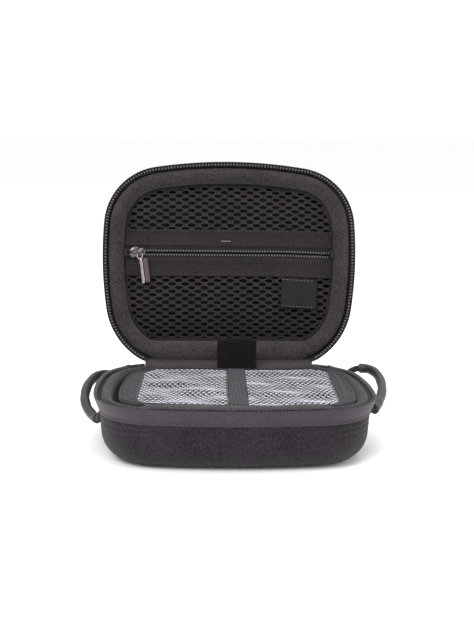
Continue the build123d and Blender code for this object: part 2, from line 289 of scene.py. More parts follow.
# Far brighter than the net: the strands' silver, with painted highlight on them.
SILVER_YARN_AND_HIGHLIGHT = material("silver_yarn_and_painted_highlight", (183, 179, 187), 0.45, 0.5, 0.3, 0.12, 0.1)
FACING_CLOTH = material("facing_cloth", (34, 30, 33), 0.88, 0.7, 0.55, 0.25, 0.12)
PANEL = material("divider_cloth", (29, 26, 30), 0.88, 0.8, 0.6, 0.28, 0.15)
ELASTIC = material("elastic_band", (39, 36, 39), 0.65, 0.5, 0.4, 0.2, 0.15,
                   ribs=("X", 157.0), rib_bump=0.8)
TAB = material("tab_webbing", (15, 12, 14), 0.85, 1.0, 0.9, 0.3, 0.05,
               ribs=("DIAGONAL", 260.0), rib_bump=0.6)
STRAP = material("loop_webbing", (40, 38, 40), 0.8, 0.8, 0.6, 0.2, 0.1)
SLEEVE = material("loop_sleeve_skin", (25, 23, 24), 0.5, 1.2, 0.2, 0.15, 0.0, coat=0.1, weave=False)
LABEL = material("woven_label_satin", (23, 20, 23), 0.5, 0.4, 0.4, 0.15, 0.1)
THREAD = material("stitch_thread", (42, 38, 42), 0.6, 0.4, 0.3, 0.2, 0.1, weave=False)
PALE_THREAD = material("bar_tack_thread", (120, 116, 122), 0.5, 0.4, 0.3, 0.2, 0.1, weave=False)
METAL = material("gunmetal", (88, 84, 88), 0.22, 1.6, 0.05, 0.25, 0.0, 1.0, weave=False)
# Near-black metal for the main sliders, their pulls and the zip stops, dark so they sink into the dark rear
# corners: painted shade.
BLACK_METAL_SHADE = material("near_black_metal_painted_shade", (22, 21, 22), 0.4, 1.6, 0.05, 0.25, 0.0, 0.4, weave=False)
LINK = material("gunmetal_rod", (150, 140, 144), 0.2, 1.6, 0.05, 0.2, 0.0, 1.0, weave=False)
BROWN = material("pull_strip", (66, 50, 54), 0.4, 1.2, 0.2, 0.2, 0.1, weave=False)


# ---- mesh building ----
def piece(name, skin, body, mat, nodes=(), level=0, thick=0.0):
    """A finished piece from a skin: its points in millimetres in the row frame, and its faces."""
    points, faces = skin
    mesh = bpy.data.meshes.new(name)
    mesh.from_pydata([tuple(p * 0.001) for p in np.asarray(points, float)], [], faces)
    work = bmesh.new()
    work.from_mesh(mesh)
    bmesh.ops.remove_doubles(work, verts=work.verts, dist=1e-6)
    bmesh.ops.recalc_face_normals(work, faces=work.faces)
    work.to_mesh(mesh)
    work.free()
    obj = bpy.data.objects.new(name, mesh)
    bpy.context.scene.collection.objects.link(obj)
    mesh.shade_smooth()
    mesh.materials.append(mat)
    if thick:
        solid = obj.modifiers.new("cloth", "SOLIDIFY")
        solid.thickness = thick * 0.001
        solid.offset = 0
    if level:
        soft = obj.modifiers.new("soft", "SUBSURF")
        soft.levels = soft.render_levels = level
    if body:
        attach(obj, body)
    if nodes:
        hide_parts(*nodes)
    return obj


def grid_faces(rows, cols, wrap_rows=False, wrap_cols=False):
    """Four-sided faces between neighbours of a grid of points."""
    faces = []
    for i in range(rows if wrap_rows else rows - 1):
        for j in range(cols if wrap_cols else cols - 1):
            a, b = i, (i + 1) % rows
            c, d = j, (j + 1) % cols
            faces.append((a * cols + c, a * cols + d, b * cols + d, b * cols + c))
    return faces


def loft(sections, wrap_rows=False, wrap_cols=True, cap=()):
    """Rows of points joined into one skin. cap closes the first or last row with a fan."""
    rows, cols = len(sections), len(sections[0])
    points = np.vstack(sections)
    faces = grid_faces(rows, cols, wrap_rows, wrap_cols)
    for which in cap:
        row = sections[which]
        start = (rows - 1) * cols if which == -1 else 0
        points = np.vstack((points, row.mean(axis=0)))
        hub = len(points) - 1
        faces += [(start + j, start + (j + 1) % cols, hub) for j in range(cols)]
    return points, faces


def bar(sections):
    """Sections joined into one skin with flat ends."""
    points, faces = loft(list(sections))
    size, last = len(sections[0]), (len(sections) - 1) * len(sections[0])
    return points, faces + [tuple(range(size)), tuple(range(last, last + size))]


def sheet_skin(rows):
    """A sheet from rows down one side and back up the other, its two long edges closed."""
    points, faces = loft(rows, wrap_rows=True, wrap_cols=False)
    size, cols = len(rows), len(rows[0])
    for col in (0, cols - 1):
        for i in range(size // 2 - 1):
            j = size - 1 - i
            faces.append((i * cols + col, (i + 1) * cols + col, (j - 1) * cols + col, j * cols + col))
    return points, faces


def even_path(path, passes, count=None):
    """A (y, z) path made even and smooth: its points, its normals and the distances along it."""
    path = np.array(path, float)
    seg = np.linalg.norm(np.diff(path, axis=0), axis=1)
    run = np.concatenate(((0.0,), np.cumsum(seg)))
    s = np.linspace(0, run[-1], count or int(run[-1] / 0.22))
    line = np.column_stack([np.interp(s, run, path[:, i]) for i in (0, 1)])
    for _ in range(passes):
        line[1:-1] = (line[:-2] + line[1:-1] * 2 + line[2:]) / 4
    way = np.gradient(line, axis=0)
    way /= np.linalg.norm(way, axis=1)[:, None]
    return line, np.column_stack((-way[:, 1], way[:, 0])), s


def bowl_profile(top, floor, inset, corner, rows):
    """(inset, depth) from the rim of a tray down its drafted side and round to its floor."""
    angle, draft = DRAFT_ANGLE, math.tan(DRAFT_ANGLE)
    tangent = corner * math.tan((math.pi / 2 - angle) / 2)
    low = floor - tangent * math.cos(angle)
    side = [(inset + d * draft, d) for d in np.linspace(top, low, rows)]
    cx = inset + low * draft + corner * math.cos(angle)
    cd = low - corner * math.sin(angle)
    arc = []
    for t in np.linspace(0, math.pi / 2 - angle, 9)[1:]:
        a = angle + t
        arc.append((cx - corner * math.cos(a), cd + corner * math.sin(a)))
    return side + arc


def tray(name, place, body, mat, nodes, top, floor, inset, corner, thick, wobble=lambda depth: 0.0):
    """A tray-shaped skin with a real thickness, its floor closed. wobble(depth) ripples its side."""
    skins = []
    for step in (0.0, thick):
        profile = bowl_profile(top, floor - step, inset + step, corner - step, 14)
        rows = [ring(i + wobble(d), d) for i, d in profile]
        last = rows[-1]
        for s in (0.86, 0.7, 0.5, 0.28, 0.1):
            inner = last.copy()
            inner[:, :2] *= s
            inner[:, 2] -= 0.25 * (1 - s) if step == 0.0 else 0.0
            rows.append(inner)
        skins.append(rows)
    outer, inner = skins
    rows = [place(r) for r in outer[::-1]] + [place(r) for r in inner]
    piece(name, loft(rows, cap=(0, -1)), body, mat, nodes)


def rim_run(profile, place, s0, s1, pitch=1.5):
    """A closed section carried along part of the rim, with its ends closed."""
    count = int((s1 - s0) / pitch)
    s = np.linspace(s0, s1, count)
    p, n = on_rim(s)
    lines = []
    for inset, depth in profile:
        inset, depth = np.broadcast_to(inset, (count,)), np.broadcast_to(depth, (count,))
        lines.append(place(np.column_stack((p - n * inset[:, None], depth))))
    return bar(np.stack(lines, axis=1))


def squarish(x, power):
    """A sine or cosine, squared off by a power below 1."""
    return np.sign(x) * np.abs(x) ** power


def blob(centre, along, up, size, rows=4, cols=8, power=0.8):
    """A small rounded bead: its size along, up and across."""
    across = np.cross(along, up)
    points, faces = [], []
    for i in range(1, rows):
        a = math.pi * i / rows - math.pi / 2
        for j in range(cols):
            b = 2 * math.pi * j / cols
            x = squarish(math.cos(b), power) * math.cos(a)
            y = squarish(math.sin(b), power) * math.cos(a)
            z = math.sin(a)
            points.append(centre + along * x * size[0] / 2 + across * y * size[2] / 2
                          + up * z * size[1] / 2)
    faces += grid_faces(rows - 1, cols, False, True)
    for end, row, sign in ((-1, 0, 1), (1, rows - 2, -1)):
        points.append(centre + up * end * size[1] / 2)
        hub = len(points) - 1
        faces += [(row * cols + j, row * cols + (j + 1) % cols, hub)[::sign] for j in range(cols)]
    return points, faces


def gather(parts):
    """Several (points, faces) as one."""
    points, faces = [], []
    for p, f in parts:
        base = len(points)
        points.extend(p)
        faces.extend(tuple(i + base for i in face) for face in f)
    return np.array(points), faces


def beads(path, up, size, pitch, shift=0.0):
    """Beads along a line of points at a pitch. up is a direction, or gives one for each bead's place."""
    path = np.asarray(path)
    seg = np.linalg.norm(np.diff(path, axis=0), axis=1)
    run = np.concatenate(((0.0,), np.cumsum(seg)))
    made = []
    for s in np.arange(shift, run[-1], pitch):
        back, spot, ahead = (np.array([np.interp(at, run, path[:, i]) for i in range(3)])
                             for at in (s - 0.4, s, s + 0.4))
        along = (ahead - back) / np.linalg.norm(ahead - back)
        side = up if isinstance(up, np.ndarray) else up(spot)
        side = side - along * np.dot(side, along)
        side /= np.linalg.norm(side)
        made.append(blob(spot, along, side, size))
    return gather(made)


# ---- the two halves ----
def corner_ripples(amount):
    """Ripples that the pulled seam leaves in the cover near the front corners."""
    at = hump(np.abs(RIM_P[:, 0]), 66, 12) * (RIM_P[:, 1] < -20)
    wave = 0.12 * np.sin(RIM_S * 0.11) + 0.08 * np.sin(RIM_S * 0.23 + 1.0)

    def wobble(depth):
        fade = smooth((depth - SEAM) / 2.0) * (1 - smooth((depth - 15.0) / 8.0))
        return amount * at * math.sin(depth * 1.9) * fade + wave * (0.5 + fade)

    return wobble


def tape_lean(depth, thick=0.0):
    """How far in from the rim the flared tape stands at a depth."""
    return FLARE * (depth - 0.6) + thick


ZIP_END = 54.0  # along the rim from the middle of the hinge to the zip's end
for half, place, floor in (("base", in_base, PARTING), ("lid", in_lid, LID_DEPTH)):
    base = half == "base"
    tray(f"{half}_cover_skin", place, half, OUTER, (f"{half}_cover", f"{half}_shell"),
         SEAM - 0.8, floor, 3.0, 16.0, 1.6, corner_ripples(0.42 if base else 0.2))
    # The base's lining takes the darker well copy: painted shade.
    tray(f"{half}_lining_skin", place, half, WELL_SHADE if base else LINING, (f"{half}_lining",),
         5.0, floor - 6.2, 9.2, 9.8, 0.7)

    # Padded collar: a crowned ring, gathered a little round the corners
    corners = hump(np.abs(RIM_P[:, 0]), 70, 9) * (np.abs(RIM_P[:, 1]) > 22)
    gathers = corners * (0.16 * np.sin(RIM_S * 1.45) + 0.12 * np.sin(RIM_S * 0.83 + 1.0))
    swell = 0.12 * np.sin(RIM_S * 0.09) + 0.1 * np.sin(RIM_S * 0.047 + 2.0) + gathers
    if base:
        section = ((4.25, 6.9), (4.3, 5.4), (4.2, 4.0), (4.3, 2.7), (4.7, 1.7), (5.5, 1.1), (6.5, 0.85),
                   (7.6, 1.0), (8.9, 1.6), (10.0, 2.5), (10.7, 3.9), (10.9, 5.3), (10.6, 6.6), (9.4, 7.0),
                   (7.0, 7.05))
    else:
        section = ((4.25, 6.9), (3.85, 5.4), (3.8, 4.0), (4.1, 2.9), (4.9, 2.1), (6.1, 1.75), (7.4, 1.85),
                   (8.8, 2.4), (10.2, 3.3), (11.5, 4.5), (12.7, 5.9), (13.4, 7.2), (13.0, 8.2), (10.5, 8.3),
                   (7.0, 7.4))
    # The lid's collar reaches further out along the hinge
    reach = (0.0 if base else 3.6) * smooth((56 - np.abs(RIM_P[:, 0])) / 12) * (RIM_P[:, 1] > 40)
    skin = loft([place(ring(i - reach * max(0.0, 1 - (i - 4.0) / 5.0), d - swell * (d < 4.5)))
                 for i, d in section], wrap_rows=True)
    collar = piece(f"{half}_collar_pad", skin, half, BASE_LINING if base else LINING,
                   (f"{half}_collar",), level=1)

    # Zip tape: its free edge turns in over the teeth, its seam edge is bound to the cover
    first = ZIP_END if base else ZIP_END - 1.0
    s0, s1 = first, GIRTH - first
    outside = [(tape_lean(d) - 0.25 * math.sin((d - 0.6) / 8.4 * math.pi), d)
               for d in (0.6, 1.1, 2.2, 3.8, 5.6, 7.4, 8.7)]
    bound = [(3.15, 9.2), (3.25, 9.9), (3.7, 10.1), (4.35, 9.4)]
    inside = [(tape_lean(8.0, 0.9), 8.0), (tape_lean(5.6, 0.8), 5.6), (tape_lean(2.6, 0.8), 2.6),
              (tape_lean(0.8, 0.8), 0.9)]
    skin = rim_run(outside + bound + inside, place, s0, s1)
    # The lid's tape takes the darker copy: painted shade on the lid's zip.
    tape = piece(f"{half}_zip_tape_band", skin, half, TAPE if base else DARK_TAPE_AND_SHADE,
                 (f"{half}_zip_tape",))

    # Teeth along the tape's free edge
    coil0 = ZIP_END + (4.5 if base else 2.0)
    s = np.arange(coil0, GIRTH - coil0, 2.0)
    p, n = on_rim(s)
    ahead, _ = on_rim(s + 0.3)
    made = []
    spots, tips, fronts = (place(np.column_stack((q - n * inset, np.full(len(s), depth))))
                           for q, inset, depth in ((p, 1.75, 1.55), (p, 1.25, 0.55), (ahead, 1.75, 1.55)))
    for spot, tip, front in zip(spots, tips, fronts):
        along = (front - spot) / np.linalg.norm(front - spot)
        up = tip - spot
        up -= along * np.dot(up, along)
        made.append(blob(spot, along, up / np.linalg.norm(up), (1.05, 2.1, 1.0), 5, 8, 0.7))
    piece(f"{half}_zip_teeth", gather(made), half, BASE_TEETH if base else TEETH,
          (f"{half}_zip_coil",))

    # Seam stitches just under the tape
    p, n = on_rim(np.linspace(s0, s1, 900))
    line = place(np.column_stack((p - n * 2.7, np.full(900, 8.5))))
    inward = HINGE + (LID_UP * HALF if not base else np.array((0, -HALF, 0)))
    skin = beads(line, lambda q: inward - q, (1.6, 0.22, 0.3), 2.6)
    piece(f"{half}_seam_stitches", skin, half, THREAD)


# ---- hinge fabric: a ribbed strip inside and a plain one outside, bending from base to lid ----
def hinge_sheet(name, path, width, thick, mat, nodes, ripple=0.0, pitch=1.1):
    """A strip across the hinge. path is (y, z) from the base to the lid."""
    line, normal, s = even_path(path, 10)
    wave = ripple * np.sin(s * 2 * math.pi / pitch)
    cols = 60
    across = np.linspace(-width / 2, width / 2, cols)
    skins = []
    for side in (thick / 2, -thick / 2):
        at = line + normal * (side + wave)[:, None]
        skins.append([np.column_stack((across, np.full(cols, y), np.full(cols, z))) for y, z in at])
    strip = piece(name, sheet_skin(skins[0] + skins[1][::-1]), None, mat, nodes)
    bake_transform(strip)


def hinge_yz(v, d):
    """y and z of a spot v up the lid from the hinge, at depth d."""
    spot = HINGE + LID_UP * v + LID_IN * d
    return (spot[1], spot[2])


hinge_sheet("hinge_strip_ribbed",
            [(52.4, 32.6), (53.0, 34.4), (54.6, 35.7), (58.0, 36.1), (62.6, 36.1), hinge_yz(0.2, 0.3),
             hinge_yz(0.8, 1.3), hinge_yz(1.2, 3.2), hinge_yz(1.6, 6.0)],
            106.0, 0.7, HINGE_CLOTH, ("hinge_strip_base", "hinge_strip_lid"), ripple=0.2, pitch=1.25)
hinge_sheet("hinge_strip_outer",
            [(60.9, 26.4), (61.3, 28.0), (62.6, 32.0), (63.9, 35.9), hinge_yz(0.5, 0.9),
             hinge_yz(1.9, 4.5), hinge_yz(3.0, 8.6), hinge_yz(3.2, 10.2)],
            107.0, 0.8, DARK_TAPE_AND_SHADE, ())


# ---- nets ----
def net(u0, u1, v0, v1, pitch_u, pitch_v, hole_u, hole_v, keep, lay):
    """Staggered holes in a cloth. keep(u, v) says which cells are made, lay(u, v) places points."""
    made_points, faces, index = [], [], {}

    def corner(u, v):
        key = (round(u, 2), round(v, 2))
        if key not in index:
            index[key] = len(made_points)
            made_points.append(key)
        return index[key]

    rows = int((v1 - v0) / pitch_v) + 1
    cols = int((u1 - u0) / pitch_u) + 2
    for r in range(rows):
        v = v0 + r * pitch_v
        for c in range(cols):
            u = u0 + (c + 0.5 * (r % 2)) * pitch_u
            if not keep(u, v):
                continue
            w, h = pitch_u / 2, pitch_v
            cell = [(u + w, v - h / 3), (u + w, v + h / 3), (u, v + h * 2 / 3), (u - w, v + h / 3),
                    (u - w, v - h / 3), (u, v - h * 2 / 3)]
            rim_ids, ring_ids = [], []
            for k in range(6):
                a, b = cell[k], cell[(k + 1) % 6]
                rim_ids += [corner(*a), corner((a[0] + b[0]) / 2, (a[1] + b[1]) / 2)]
            for idx in rim_ids:
                x, y = made_points[idx]
                a = math.atan2((y - v) / hole_v, (x - u) / hole_u)
                ring_ids.append(len(made_points))
                made_points.append((u + hole_u / 2 * math.cos(a), v + hole_v / 2 * math.sin(a)))
            for k in range(12):
                m = (k + 1) % 12
                faces.append((rim_ids[k], rim_ids[m], ring_ids[m], ring_ids[k]))
    uv = np.array(made_points)
    return lay(uv[:, 0], uv[:, 1]), faces


def rim_room(u, v):
    """Distance in from the rim's outline at a point of the rim's plane."""
    p = np.column_stack([np.ravel(a) for a in np.broadcast_arrays(u, v)])
    return (REACH_4[None, :] - p @ OUT_4.T).min(axis=1)


# ---- the lid's pocket ----
def pocket_depth(u, v):
    """The slack pocket: it bulges forward in its middle and falls back to the wall at its edges."""
    u, v = np.asarray(u, float), np.asarray(v, float)
    room = rim_room(u, HALF - v)
    edge = 1 - smooth((room - 12.0) / 14.0)
    top = np.clip((v - 85) / 30, 0, 1)
    low = np.clip((55 - v) / 42, 0, 1)
    bulge = 1.5 * np.sin(np.clip(low * 1.25, 0, 1) * math.pi) + 0.7 * np.sin(top * math.pi)
    folds = 0.35 * np.sin(u * 0.21 + v * 0.05) * low + 0.25 * np.sin(u * 0.13 - v * 0.11 + 1) * (low + top)
    return 6.5 + 3.2 * edge + 1.6 * top ** 2 - bulge - folds


def zip_dip(u):
    """The pocket's zip line droops a little towards its right end."""
    return -0.9 * smooth((np.asarray(u, float) - 30) / 40)


def on_pocket(u, v, proud=0.0):
    """Spots on the pocket that follow its zip line, proud of the cloth."""
    return lid_uv(u, v + zip_dip(u), pocket_depth(u, v) - proud)


def pocket_ring(flat, proud):
    """A ring of flat points laid on the pocket, proud of the cloth."""
    return in_lid(np.column_stack((flat, pocket_depth(flat[:, 0], HALF - flat[:, 1]) - proud)))


for name, low, high, node in (("pocket_net_lower", 10.0, 57.5, "pocket_mesh_lower"),
                              ("pocket_net_upper", 83.0, 119.0, "pocket_mesh_upper")):
    skin = net(-74, 74, low, high, 8.3, 2.35, 5.0, 2.45,
               lambda u, v: rim_room(u, HALF - v)[0] > 10.2, on_pocket)
    cloth = piece(name, skin, "lid", MESH_BLACK, (node,), thick=0.55)

# A dark sheet behind the net: painted shade inside the pocket
skin = loft([pocket_ring(inset_ring(11.2) * (1 - k * 0.96), -5.0) for k in np.linspace(0.0, 1.0, 10)],
            cap=(-1,))
shade_sheet = piece("pocket_painted_shade_sheet", skin, "lid", POCKET_SHADE, thick=0.4)


def pocket_strip(name, low, high, thick, mat, node, proud=0.0, reach=68.6, hem=0.6):
    """A band of cloth across the pocket with rolled edges."""
    u = np.linspace(-reach, reach, 110)
    prof = [(low, 0.0), (low + 0.15, thick * 0.5), (low + hem, thick * 0.62), (low + hem * 1.8, thick * 0.42),
            ((low + high) / 2, thick * 0.5), (high - hem * 1.8, thick * 0.42), (high - hem, thick * 0.62),
            (high - 0.15, thick * 0.5), (high, 0.0), (high - 0.4, -thick * 0.5), (low + 0.4, -thick * 0.5)]
    lines = []
    for v, out in prof:
        wave = 0.12 * np.sin(u * 0.16 + v) + 0.08 * np.sin(u * 0.37 + 2)
        lines.append(on_pocket(u, v, proud + out + wave))
    strip = piece(name, bar(np.stack(lines, axis=1)), "lid", mat, (node,))


for end, low, high in (("lower", 55.0, 66.4), ("upper", 74.4, 85.0)):
    pocket_strip(f"pocket_band_{end}", low, high, 1.1, FACING_CLOTH,
                 f"pocket_facing_{end}", 0.5)
for end, low, high in (("lower", 65.6, 69.6), ("upper", 70.4, 75.0)):
    pocket_strip(f"pocket_tape_{end}", low, high, 0.6, DARK_TAPE_AND_SHADE, f"pocket_zip_tape_{end}",
                 0.1, 67.5, 0.3)

u = np.linspace(-65.0, 65.0, 400)
for end, v, shift in (("lower", 68.7, 0.0), ("upper", 71.3, 0.85)):
    skin = beads(on_pocket(u, v, 0.45), LID_UP, (1.0, 1.35, 0.8), 1.75, shift)
    piece(f"pocket_teeth_{end}", skin, "lid", DARK_TEETH, (f"pocket_zip_coil_{end}",))

u = np.linspace(-66.5, 66.5, 300)
for end, v in (("low", 64.9), ("high", 75.9), ("hem", 56.2), ("top", 83.9)):
    skin = beads(on_pocket(u, v, 1.18), LID_OUT, (1.5, 0.22, 0.3), 2.6)
    piece(f"pocket_stitches_{end}", skin, "lid", THREAD)

skin = beads(on_pocket(np.linspace(-4.5, 1.5, 20), 77.6, 1.15), LID_OUT, (1.9, 0.5, 0.6), 1.5)
piece("pocket_bar_tack", skin, "lid", PALE_THREAD)

# Binding round the pocket's edge, tucked against the collar
skin = loft([pocket_ring(inset_ring(12.9 + 0.7 * math.cos(a)), -0.2 - 0.6 * math.sin(a))
             for a in np.linspace(0, 2 * math.pi, 10, endpoint=False)], wrap_rows=True)
piece("pocket_edge_binding", skin, "lid", LINING, ("pocket_binding",))

# The nets' plain edge, drawn up to the collar
rows = []
for t in np.linspace(0, 1, 9):
    flat = inset_ring(11.4 + 3.7 * t + 0.45 * np.sin(np.arange(RING) * 0.37) * t)
    gathers = 0.16 * np.sin(np.arange(RING) * 0.9) * math.sin(math.pi * t)
    rows.append(pocket_ring(flat, 0.5 + 1.2 * (1 - t) ** 2 - 0.3 * t - gathers))
edge_cloth = piece("pocket_edge_cloth", loft(rows), "lid", FACING_CLOTH, thick=0.4)

# Blank woven label, sewn along its top edge and lifting a little at its free corners
LABEL_MIDDLE, LABEL_WIDE, LABEL_TALL = (44.9, 44.3), 22.6, 19.4
LABEL_TURN = math.radians(-3.0)


def on_label(u, v, proud):
    """Spots on the label, u and v from its middle."""
    uu = LABEL_MIDDLE[0] + u * math.cos(LABEL_TURN) - v * math.sin(LABEL_TURN)
    vv = LABEL_MIDDLE[1] + u * math.sin(LABEL_TURN) + v * math.cos(LABEL_TURN)
    drop = (LABEL_TALL / 2 - v) / LABEL_TALL
    lift = 1.5 * drop ** 2 + 0.9 * np.abs(u * 2 / LABEL_WIDE) ** 3 * drop
    return lid_uv(uu, vv, pocket_depth(uu, vv) - proud - lift)


u = np.linspace(-LABEL_WIDE / 2, LABEL_WIDE / 2, 18)
skin = loft([on_label(u, v, 0.75) for v in np.linspace(LABEL_TALL / 2, -LABEL_TALL / 2, 16)],
            wrap_cols=False)
tag = piece("blank_label", skin, "lid", LABEL, ("woven_label",), thick=0.45)
for name, v, reach in (("label_stitches", 8.5, 10.3), ("label_stitches_low", -8.4, 10.0)):
    skin = beads(on_label(np.linspace(-reach, reach, 40), v, 1.02), LID_OUT, (1.3, 0.18, 0.26), 2.3)
    piece(name, skin, "lid", PALE_THREAD)

# ---- the divider ----
PANEL_TURN = math.radians(-1.8)
PANEL_SHIFT = (1.9, 0.6)


def on_panel(x, y, z):
    """The panel lies a little askew, with its right rear corner riding up."""
    x, y = np.asarray(x, float), np.asarray(y, float)
    rise = 1.3 * smooth((x - 5) / 60) * smooth((y + 5) / 50) + 0.25 * np.sin(x * 0.06) * np.cos(y * 0.05)
    px = PANEL_SHIFT[0] + x * math.cos(PANEL_TURN) - y * math.sin(PANEL_TURN)
    py = PANEL_SHIFT[1] + x * math.sin(PANEL_TURN) + y * math.cos(PANEL_TURN)
    return np.column_stack((px, py, np.broadcast_to(z, px.shape) + rise))


EDGE = 13.3  # from the rim in to the panel's edge
BORDER = 8.5  # from the panel's edge in to the windows


def window_outline(size=(113.0, 93.0), middle=(0.1, -0.1), radius=14.0):
    """The windows' shared outline, a rounded rectangle: its points and outward directions."""
    points, out = [], []
    for sx, sy, a0 in ((1, 1, 0), (-1, 1, 90), (-1, -1, 180), (1, -1, 270)):
        for a in np.radians(np.arange(a0, a0 + 91, 3)):
            centre = (middle[0] + sx * (size[0] / 2 - radius), middle[1] + sy * (size[1] / 2 - radius))
            points.append((centre[0] + radius * math.cos(a), centre[1] + radius * math.sin(a)))
            out.append((math.cos(a), math.sin(a)))
    return np.array(points), np.array(out)


WINDOW, WINDOW_OUT = window_outline()
WINDOW_REACH = np.sum(WINDOW * WINDOW_OUT, axis=1)
WINDOW_RING = on_rays(WINDOW_REACH, RAYS @ WINDOW_OUT.T)


def border_ring(i):
    """A ring across the divider's border: 0 at the panel's edge and BORDER at the windows."""
    if i <= 0:
        return inset_ring(EDGE + i)
    edge = inset_ring(EDGE)
    return edge + (WINDOW_RING - edge) * i / BORDER


def window_room(x, y):
    """Distance in from the windows' outline."""
    p = np.column_stack((np.atleast_1d(x), np.atleast_1d(y)))
    return (WINDOW_REACH[None, :] - p @ WINDOW_OUT.T).min(axis=1)


def on_border(outline, z):
    """A ring of the panel's own x and y, laid on the panel at a height."""
    return on_panel(outline[:, 0], outline[:, 1], z)


frame_section = ((0.5, 32.0), (0.0, 32.9), (-0.05, 33.9), (0.25, 34.9), (0.9, 35.4), (1.8, 35.5), (2.4, 35.3),
                 (2.8, 35.05), (3.3, 35.35), (4.2, 35.75), (5.0, 35.75), (5.7, 35.5), (6.1, 35.15), (6.6, 35.4),
                 (7.4, 35.45), (8.2, 35.1), (8.5, 34.5), (8.3, 33.4), (7.0, 32.2), (3.5, 31.9))
skin = loft([on_border(border_ring(i), z) for i, z in frame_section], wrap_rows=True)
border = piece("divider_border_pad", skin, "divider", PANEL,
               ("divider_cover_top", "divider_cover_bottom", "divider_board"), level=1)

tape_section = ((0.9, 35.75), (0.1, 35.25), (-0.45, 34.2), (-0.5, 33.2), (-0.1, 32.1), (0.8, 31.7), (0.7, 32.2),
                (0.2, 32.7), (0.0, 33.6), (0.3, 34.9), (0.9, 35.3))
skin = loft([on_border(inset_ring(EDGE + i), z) for i, z in tape_section], wrap_rows=True)
piece("divider_edge_tape", skin, "divider", HINGE_CLOTH, ("divider_binding",))

for name, inset, z in (("divider_stitches_outer", 2.8, 35.15), ("divider_stitches_inner", 6.15, 35.25)):
    line = on_border(border_ring(inset), z)
    skin = beads(np.vstack((line, line[:1])), UP, (1.9, 0.35, 0.42), 3.0)
    piece(name, skin, "divider", THREAD)

# The bar between the windows
BAR_X = 0.4
y = np.linspace(-50.0, 50.0, 60)
lines = []
for x, z in ((-5.6, 33.0), (-5.8, 34.4), (-5.2, 35.0), (-3.0, 35.2), (0.0, 35.25), (3.0, 35.2), (5.2, 35.0),
             (5.8, 34.4), (5.6, 33.0)):
    lines.append(on_panel(BAR_X + x, y * 0.95, z))
piece("divider_middle_bar", bar(np.stack(lines, axis=1)), "divider", PANEL)

# Ribbed elastic over the bar
across = np.linspace(-5.1, 5.1, 61)
ribs = 35.55 + 0.22 * np.abs(np.sin(across * math.pi / 1.85))
rows = []
for yy in np.linspace(-48.5, 48.0, 90):
    sag = 0.12 * math.sin(yy * 0.11)
    shape = np.concatenate((ribs + sag, np.full(len(ribs), 35.2) + sag))
    xs = np.concatenate((across, across[::-1]))
    rows.append(on_panel(BAR_X + xs * (1 + 0.02 * math.sin(yy * 0.09)), np.full(len(xs), yy), shape))
elastic = piece("divider_elastic_band", bar(rows), "divider", ELASTIC, ("divider_elastic",))
skin = beads(on_panel(np.linspace(-0.6, 1.6, 8), np.full(8, 4.0), 35.85), UP, (1.3, 0.4, 0.9), 1.2)
piece("elastic_tack", skin, "divider", DARK_TEETH)


def window_height(x, y):
    """The slack window cloth's height, with its folds."""
    room = window_room(x, y) + 1.0
    sag = 1.0 * smooth(room / 18)
    folds = (0.45 * np.sin(x * 0.17 + y * 0.12) + 0.3 * np.sin(x * 0.09 - y * 0.2 + 1.3)
             + 0.2 * np.sin(y * 0.33 + x * 0.04))
    return 34.9 - sag * 0.5 + folds * smooth(room / 8)


for side, low, high in (("left", -70.0, -3.0), ("right", 4.0, 70.0)):
    skin = net(low, high, -58, 58, 3.1, 4.3, 1.15, 4.3,
               lambda x, y: window_room(x, y)[0] > -0.9 and low + 1 < x < high - 1,
               lambda x, y: on_panel(x, y, window_height(x, y)))
    cloth = piece(f"divider_net_{side}", skin, "divider", MESH_SILVER,
                  (f"mesh_window_{side}",), thick=0.4)
    # Raised silver yarns between the holes, in staggered rows, much brighter than the net: the yarn's own
    # silver with painted highlight on the strands
    yarns = []
    for r, y in enumerate(np.arange(-52.0, 52.0, 3.2)):
        for x in np.arange(low + 2.6 + 1.55 * (r % 2), high - 2.4, 3.1):
            if window_room(x, y)[0] < 0.6:
                continue
            crease = abs((y - 12 - 0.22 * x) / 3.0) < 0.5 or abs((y + 14 + 0.12 * x) / 3.0) < 0.4
            at_x, at_y = np.array([x]), np.array([y])
            spot = on_panel(at_x, at_y, window_height(at_x, at_y))[0]
            length = 2.35 - 0.5 * abs(math.sin(x * 1.7 + y * 0.9)) - (1.0 if crease else 0.0)
            yarns.append(blob(spot + UP * 0.35, RIGHT, UP, (length, 0.5, 1.8)))
    piece(f"divider_yarns_{side}", gather(yarns), "divider", SILVER_YARN_AND_HIGHLIGHT)

# Folded webbing tab standing at the divider's rear edge
TAB_FOOT, TAB_HEIGHT, TAB_X, TAB_WIDE = 35.0, 18.0, 4.2, 24.5


def webbing_loop(thick, path, bow, arch, cols=36):
    """Webbing along a (y, z) path. Towards its fold its sides bow back and its middle arches up."""
    line, normal, s = even_path(path, 4, 70)
    x = np.linspace(-TAB_WIDE / 2, TAB_WIDE / 2, cols)
    off = (x / TAB_WIDE * 2) ** 2
    rows = []
    for side in (1, -1):
        block = []
        for (yy, zz), (ny, nz) in zip(line, normal):
            up = (zz - TAB_FOOT) / TAB_HEIGHT
            block.append(np.column_stack((x + TAB_X, yy + side * ny * thick / 2 + bow * off * up,
                                          zz + side * nz * thick / 2 - arch * off * up)))
        rows += block[::side]
    return sheet_skin(rows), s[-1]


skin, length = webbing_loop(
    1.15, [(50.1, 34.6), (50.2, 40.0), (50.5, 47.5), (50.8, 53.2), (51.3, 54.7), (52.0, 54.8), (52.5, 53.4),
           (52.1, 48.0), (51.7, 40.0), (51.5, 34.6)], bow=0.9, arch=1.1)
tab = piece("folded_pull_tab", skin, "divider", TAB, ("pull_tab",))
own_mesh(tab)

